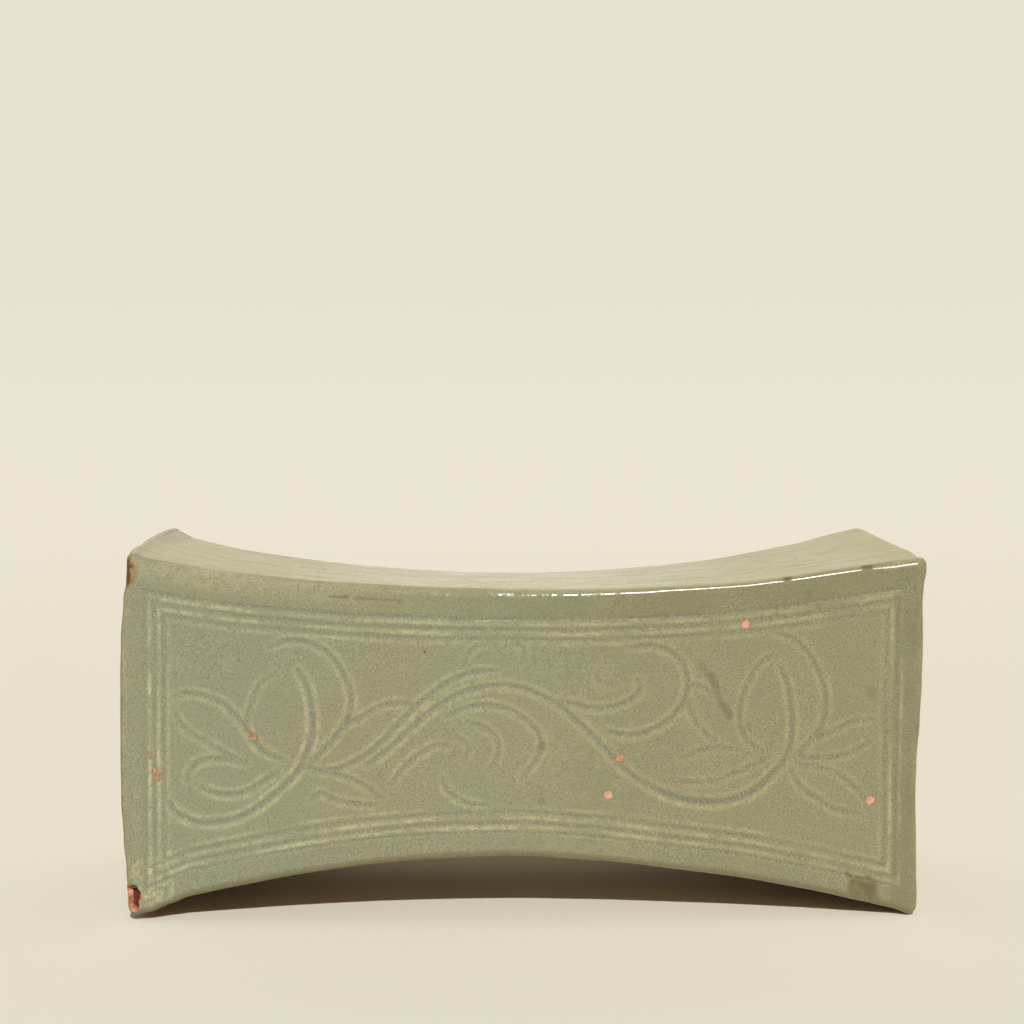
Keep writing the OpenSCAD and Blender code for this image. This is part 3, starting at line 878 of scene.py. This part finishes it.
class Weave:
    # Short hand for placing and joining shader nodes
    def __init__(self, tree):
        self.nodes, self.links = tree.nodes, tree.links

    def put(self, kind, **inputs):
        node = self.nodes.new(kind)
        for key, value in inputs.items():
            node.inputs[key].default_value = value
        return node

    def feed(self, socket, value):
        if isinstance(value, bpy.types.NodeSocket):
            self.links.new(value, socket)
        else:
            socket.default_value = value

    def blend(self, share, first, second):
        node = self.nodes.new("ShaderNodeMix")
        node.data_type = "RGBA"
        for socket, value in ((node.inputs[0], share), (node.inputs[6], first), (node.inputs[7], second)):
            self.feed(socket, value)
        return node.outputs[2]

    def sums(self, operation, first, second, limited=False):
        node = self.nodes.new("ShaderNodeMath")
        node.operation, node.use_clamp = operation, limited
        self.feed(node.inputs[0], first)
        self.feed(node.inputs[1], second)
        return node.outputs[0]

    def ramp(self, value, low, high, newLow=0.0, newHigh=1.0):
        node = self.nodes.new("ShaderNodeMapRange")
        node.interpolation_type = "SMOOTHSTEP"
        self.feed(node.inputs["Value"], value)
        for key, number in (("From Min", low), ("From Max", high), ("To Min", newLow), ("To Max", newHigh)):
            node.inputs[key].default_value = number
        return node.outputs["Result"]

    def mark(self, name):
        node = self.nodes.new("ShaderNodeAttribute")
        node.attribute_name = name
        return node.outputs["Fac"]

    def part(self, vector, axis):
        node = self.nodes.new("ShaderNodeSeparateXYZ")
        self.links.new(vector, node.inputs[0])
        return node.outputs[axis]

    # the grain of a fired surface, and a bump that follows the given height
    def fired(self, grainSize, cloudSize):
        grain = self.nodes.new("ShaderNodeGroup")
        grain.node_tree = grainGroup
        self.feed(grain.inputs["Grain Size"], grainSize)
        self.feed(grain.inputs["Cloud Size"], cloudSize)
        return [grain.outputs[key] for key in ("Grain", "Speckle", "Patch", "Cloud")]

    def roughen(self, shader, height, strength, distance):
        relief = self.put("ShaderNodeBump", Strength=strength, Distance=distance)
        self.links.new(height, relief.inputs["Height"])
        self.links.new(relief.outputs["Normal"], shader.inputs["Normal"])


# Fine grain and slow clouding that every fired surface shows, on object coordinates
def makeGrainGroup():
    group = bpy.data.node_groups.new("firedGrain", "ShaderNodeTree")
    for label in ("Grain Size", "Cloud Size"):
        group.interface.new_socket(label, in_out="INPUT", socket_type="NodeSocketFloat")
    for label in ("Grain", "Speckle", "Patch", "Cloud"):
        group.interface.new_socket(label, in_out="OUTPUT", socket_type="NodeSocketFloat")
    w = Weave(group)
    source, target = w.nodes.new("NodeGroupInput"), w.nodes.new("NodeGroupOutput")
    place = w.nodes.new("ShaderNodeTexCoord")
    # each output: the size it follows, how fine it is, its detail and its roughness
    for label, size, fineness, detail, rough in (
            ("Grain", "Grain Size", 1000.0, 3.0, 0.65), ("Speckle", "Grain Size", 2300.0, 1.0, 0.5),
            ("Patch", "Grain Size", 260.0, 3.0, 0.6), ("Cloud", "Cloud Size", 1000.0, 3.0, 0.5)):
        texture = w.put("ShaderNodeTexNoise", Detail=detail, Roughness=rough)
        w.links.new(place.outputs["Object"], texture.inputs["Vector"])
        w.links.new(w.sums("DIVIDE", fineness, source.outputs[size]), texture.inputs["Scale"])
        w.links.new(texture.outputs["Fac"], target.inputs[label])
    return group


grainGroup = makeGrainGroup()


def startMaterial(name):
    material = bpy.data.materials.new(name)
    material.use_nodes = True
    w = Weave(material.node_tree)
    return material, w, w.nodes["Principled BSDF"]


celadon = {
    "clear": tone(131, 129, 98), "cool": tone(127, 131, 107), "warm": tone(127, 125, 90),
    "dark": tone(95, 98, 74), "light": tone(165, 160, 128),
    "pooled": tone(106, 115, 103), "pooledWarm": tone(104, 109, 86),
    # thin glaze on the ridges; the same two tones paint the sheen on the top and on its front edge
    "thinAndSheen": tone(174, 164, 120), "thinCoolAndSheen": tone(192, 184, 146),
    # the top's two tones are painted sheen: the top painted pale, palest in its hollow
    "upper": tone(206, 197, 145), "hollow": tone(224, 216, 170),
    "stain": tone(84, 71, 33), "ochre": tone(142, 112, 56), "brown": tone(92, 56, 30),
    "pink": tone(200, 154, 127), "terracotta": tone(160, 104, 70), "clay": tone(96, 38, 22),
    "grainSize": 0.75, "cloudSize": 40.0, "glossy": 0.085, "dull": 0.8, "topWear": 0.17, "endWear": 0.07,
    "rightDull": 0.12, "bump": 0.3, "bumpHeight": 0.0001, "bend": 1.52,
}


def makeCeladon():
    material, w, shader = startMaterial("celadon")
    grain, speckle, patch, cloud = w.fired(celadon["grainSize"], celadon["cloudSize"])
    place = w.nodes.new("ShaderNodeTexCoord")
    x, up = w.part(place.outputs["Object"], "X"), w.part(place.outputs["Normal"], "Z")
    sideways = w.sums("ABSOLUTE", x, 0.0)
    pool, ribAndSheen, chip, stain, iron = (w.mark(name) for name in markNames)

    # the top painted pale, palest in its hollow: a painted sheen standing in for the light the top reflects
    upper = w.blend(w.ramp(sideways, 0.02, 0.1), celadon["hollow"], celadon["upper"])
    pooled = w.blend(w.ramp(x, -0.05, 0.12), celadon["pooled"], celadon["pooledWarm"])
    patchy = w.ramp(patch, 0.32, 0.6, 0.3, 1.0)
    warmer = w.sums("MAXIMUM", w.ramp(x, -0.12, 0.1), w.ramp(up, 0.8, 0.97))
    thinGlazeAndSheen = w.blend(warmer, celadon["thinCoolAndSheen"], celadon["thinAndSheen"])
    specks = w.sums("MULTIPLY", w.ramp(grain, 0.53, 0.3, 0.0, 0.8), w.ramp(up, 0.6, 0.93, 1.0, 0.4))
    uneven = w.sums("ADD", stain, w.ramp(grain, 0.25, 0.75, -0.14, 0.14))
    stained = w.sums("MULTIPLY", uneven, w.ramp(stain, 0.02, 0.2, 0.0, 0.85), True)
    rust = w.sums("ADD", iron, w.ramp(grain, 0.3, 0.7, -0.12, 0.12))
    edge = w.sums("ADD", w.ramp(grain, 0.3, 0.7, -0.2, 0.2), w.ramp(speckle, 0.3, 0.7, -0.1, 0.1))
    ragged = w.sums("ADD", chip, w.sums("MULTIPLY", edge, w.ramp(chip, 0.02, 0.2)))
    bare = w.ramp(ragged, 0.42, 0.56)
    bareClay = w.blend(w.ramp(iron, 0.12, 0.5), celadon["pink"], celadon["terracotta"])
    bareClay = w.blend(w.ramp(iron, 0.5, 0.9), bareClay, celadon["clay"])
    # from the ground up, each over the last: cooler at the left, a painted sheen that makes the top paler,
    # pooled in the cuts, thin on the ridges with painted sheen on the top and its front edge, dark and light
    # specks, stains, iron, and chips down to the clay
    colour = celadon["cool"]
    for share, coat in (
            (w.ramp(x, -0.16, 0.16), celadon["warm"]),
            (w.ramp(cloud, 0.35, 0.68, 0.1, 0.9), celadon["clear"]),
            (w.ramp(up, 0.84, 0.97, 0.0, 0.85), upper),
            (w.sums("MULTIPLY", pool, 0.66, True), pooled),
            (w.sums("MULTIPLY", ribAndSheen, patchy, True), thinGlazeAndSheen),
            (specks, celadon["dark"]),
            (w.ramp(speckle, 0.46, 0.7, 0.0, 0.85), celadon["light"]),
            (stained, celadon["stain"]),
            (w.ramp(rust, 0.14, 0.5, 0.0, 0.85), celadon["ochre"]),
            (w.ramp(rust, 0.5, 0.85, 0.0, 0.95), celadon["brown"]),
            (w.ramp(ragged, 0.24, 0.42, 0.0, 0.75), celadon["terracotta"]),
            (bare, bareClay)):
        colour = w.blend(share, colour, coat)
    w.links.new(colour, shader.inputs["Base Color"])

    # duller glaze on the upright sides towards the left, broken up in the middle
    spread = w.sums("ADD", x, w.ramp(patch, 0.3, 0.7, -0.045, 0.045))
    spread = w.sums("ADD", spread, w.ramp(up, 0.75, 0.95, 0.0, 0.4))
    gloss = w.ramp(spread, -0.03, 0.045, celadon["dull"], celadon["glossy"])
    # the top is worn dull towards its ends, less so in the hollow
    worn = w.ramp(sideways, 0.02, 0.1, 0.0, celadon["topWear"])
    worn = w.sums("ADD", worn, w.ramp(sideways, 0.125, 0.143, 0.0, celadon["endWear"]))
    gloss = w.sums("ADD", gloss, w.sums("MULTIPLY", w.ramp(up, 0.75, 0.95), worn))
    duller = w.sums("MULTIPLY", w.ramp(x, 0.105, 0.14, 0.0, celadon["rightDull"]), w.ramp(up, 0.85, 0.65))
    gloss = w.sums("ADD", gloss, duller)
    rough = w.sums("ADD", gloss, w.sums("MULTIPLY", w.sums("MAXIMUM", bare, stain), 0.5), True)
    w.links.new(rough, shader.inputs["Roughness"])
    height = w.sums("ADD", grain, w.sums("MULTIPLY", speckle, w.sums("ADD", bare, 0.2)))
    w.roughen(shader, height, celadon["bump"], celadon["bumpHeight"])
    shader.inputs["IOR"].default_value = celadon["bend"]
    return material


coilClay = {
    "pale": tone(196, 138, 100), "deep": tone(168, 104, 70), "speck": tone(96, 60, 40),
    "grainSize": 1.4, "cloudSize": 18.0, "rough": 0.8, "roughDrift": 0.08, "bump": 0.6, "bumpHeight": 0.0002,
}


def makeClay():
    material, w, shader = startMaterial("firedClay")
    grain, speckle, _, cloud = w.fired(coilClay["grainSize"], coilClay["cloudSize"])
    colour = w.blend(w.ramp(cloud, 0.3, 0.7), coilClay["pale"], coilClay["deep"])
    colour = w.blend(w.ramp(speckle, 0.58, 0.75, 0.0, 0.5), colour, coilClay["speck"])
    w.links.new(colour, shader.inputs["Base Color"])
    low, high = coilClay["rough"] - coilClay["roughDrift"], coilClay["rough"] + coilClay["roughDrift"]
    w.links.new(w.ramp(grain, 0.3, 0.7, low, high), shader.inputs["Roughness"])
    w.roughen(shader, grain, coilClay["bump"], coilClay["bumpHeight"])
    return material


print("stage: materials")
glazeMaterial = makeCeladon()
coilMaterial = makeClay()
for piece in [frontWall, backWall, leftEnd, rightEnd, headPiece, basePiece, topSlip, baseSlip] + slipLines:
    piece.data.materials.clear()
    piece.data.materials.append(glazeMaterial)
for name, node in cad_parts.items():
    if name.endswith("_coil"):
        node.data.materials.clear()
        node.data.materials.append(coilMaterial)


studio = {
    "paper": tone(232, 226.5, 208), "paperLow": tone(236, 229.5, 211),
    "floor": (0.893, 0.864, 0.752, 1.0), "floorReach": 3.0, "floorSides": 96,
    "floorFade": (0.45, 2.4), "floorRough": 0.95,
    "keyAim": (0.055, -0.81, 0.585), "keyPower": 3.1, "keyAngle": 1.4, "keyColour": (1.0, 0.975, 0.93),
    "fill": 0.15, "overhead": 0.12, "behind": 1.6,
    "fillColour": (1.0, 0.965, 0.89, 1.0), "behindColour": (1.0, 0.925, 0.69, 1.0),
}


def makeFloor():
    bm = bmesh.new()
    bmesh.ops.create_circle(bm, cap_ends=True, segments=studio["floorSides"], radius=studio["floorReach"])
    floor = showMesh("studio_floor", bm)
    paper, w, shader = startMaterial("paperFloor")
    shader.inputs["Base Color"].default_value = studio["floor"]
    shader.inputs["Roughness"].default_value = studio["floorRough"]
    shader.inputs["Specular IOR Level"].default_value = 0.0
    # the sheet melts into the background well away from the piece
    place, length = w.nodes.new("ShaderNodeTexCoord"), w.nodes.new("ShaderNodeVectorMath")
    length.operation = "LENGTH"
    w.links.new(place.outputs["Object"], length.inputs[0])
    w.links.new(w.ramp(length.outputs["Value"], *studio["floorFade"], 1.0, 0.0), shader.inputs["Alpha"])
    floor.data.materials.append(paper)


def makeWorld():
    world = bpy.data.worlds.new("studioRoom")
    bpy.context.scene.world = world
    world.use_nodes = True
    w = Weave(world.node_tree)
    seen, lit = w.nodes["Background"], w.nodes.new("ShaderNodeBackground")
    aim = w.nodes.new("ShaderNodeTexCoord").outputs["Generated"]
    back, up = w.part(aim, "Y"), w.part(aim, "Z")
    w.links.new(w.blend(w.ramp(up, -0.04, 0.06), studio["paperLow"], studio["paper"]), seen.inputs["Color"])
    # soft light from all round, a little stronger overhead, and a low warm band of it behind
    above = w.ramp(up, 0.3, 0.9, studio["fill"], studio["fill"] + studio["overhead"])
    behind = w.sums("MULTIPLY", w.ramp(back, 0.15, 0.6), w.ramp(up, 0.5, 0.3))
    w.links.new(w.blend(behind, studio["fillColour"], studio["behindColour"]), lit.inputs["Color"])
    w.links.new(w.sums("ADD", above, w.sums("MULTIPLY", behind, studio["behind"])), lit.inputs["Strength"])
    path, blend = w.nodes.new("ShaderNodeLightPath"), w.nodes.new("ShaderNodeMixShader")
    direct = w.sums("MAXIMUM", path.outputs["Is Camera Ray"], path.outputs["Is Glossy Ray"])
    w.links.new(w.sums("MAXIMUM", direct, path.outputs["Is Transmission Ray"]), blend.inputs[0])
    w.links.new(lit.outputs[0], blend.inputs[1])
    w.links.new(seen.outputs[0], blend.inputs[2])
    w.links.new(blend.outputs[0], w.nodes["World Output"].inputs["Surface"])


def makeKey():
    key = bpy.data.lights.new("keyLamp", "SUN")
    key.energy, key.color = studio["keyPower"], studio["keyColour"]
    key.angle = math.radians(studio["keyAngle"])
    lamp = show("keyLamp", key)
    lamp.rotation_euler = Vector(studio["keyAim"]).to_track_quat("Z", "Y").to_euler()


# The camera's place and turn; its focal length and the picture's width are in pixels
lens = {"place": (-0.02515, -0.87704, 0.1981), "pitch": 3.25, "yaw": 1.51, "roll": -0.072, "focal": 2202.0,
        "picture": 1024.0, "sensor": 36.0, "clip": (0.05, 50.0)}


def makeCamera():
    camera = bpy.data.cameras.new("studioCamera")
    camera.sensor_width = lens["sensor"]
    camera.lens = lens["sensor"] * lens["focal"] / lens["picture"]
    camera.clip_start, camera.clip_end = lens["clip"]
    stand = show("studioCamera", camera)
    turn = Matrix.Identity(4)
    for degrees, axis in ((-lens["yaw"], "Z"), (90 - lens["pitch"], "X"), (lens["roll"], "Z")):
        turn = turn @ Matrix.Rotation(math.radians(degrees), 4, axis)
    stand.location = lens["place"]
    stand.rotation_euler = turn.to_euler()
    bpy.context.scene.camera = stand


print("stage: studio")
makeFloor()
makeWorld()
makeKey()
makeCamera()
bpy.context.scene.view_settings.view_transform = "Standard"
